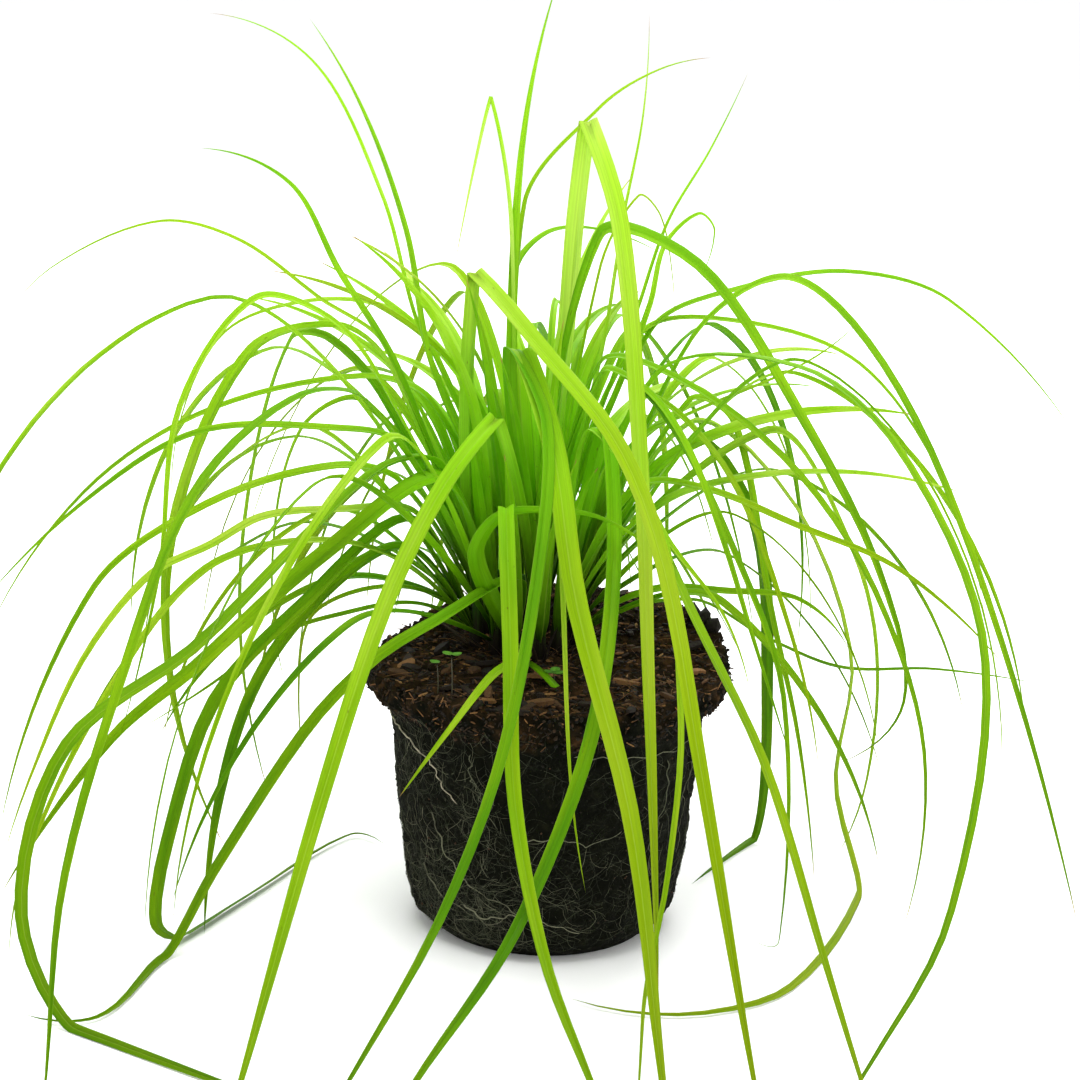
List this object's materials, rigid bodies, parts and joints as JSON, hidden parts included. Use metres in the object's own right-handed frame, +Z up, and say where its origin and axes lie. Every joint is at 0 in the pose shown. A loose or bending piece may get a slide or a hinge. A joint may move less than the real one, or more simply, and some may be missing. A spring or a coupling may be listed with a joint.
{
  "type": "carex sedge plant",
  "caption": "Lime-green carex sedge with arching narrow keeled blades, standing on its bare peat root ball in the shape of the nursery pot it was lifted from.",
  "frame": {"origin": "centre of the root ball's flat underside, on the surface that it stands on", "axes": "+Z up; -Y towards the viewer, the side whose blades fall over the front of the root ball; +X to the viewer's right"},
  "size_m": [0.419, 0.4237, 0.335],
  "materials": {
    "peat": "matt, crumbly",
    "blade_green": "satin",
    "seedling_green": "satin"
  },
  "bodies": {
    "root": {"root_ball": "peat", "shoot_01": "blade_green", "shoot_02": "blade_green", "shoot_03": "blade_green", "shoot_04": "blade_green", "shoot_05": "blade_green", "shoot_06": "blade_green", "shoot_07": "blade_green", "shoot_08": "blade_green", "shoot_09": "blade_green", "shoot_10": "blade_green", "shoot_11": "blade_green", "shoot_12": "blade_green", "shoot_13": "blade_green", "shoot_14": "blade_green", "shoot_15": "blade_green", "shoot_16": "blade_green", "seedling_1": "seedling_green", "seedling_2": "seedling_green", "seedling_3": "seedling_green"}
  },
  "joints": []
}
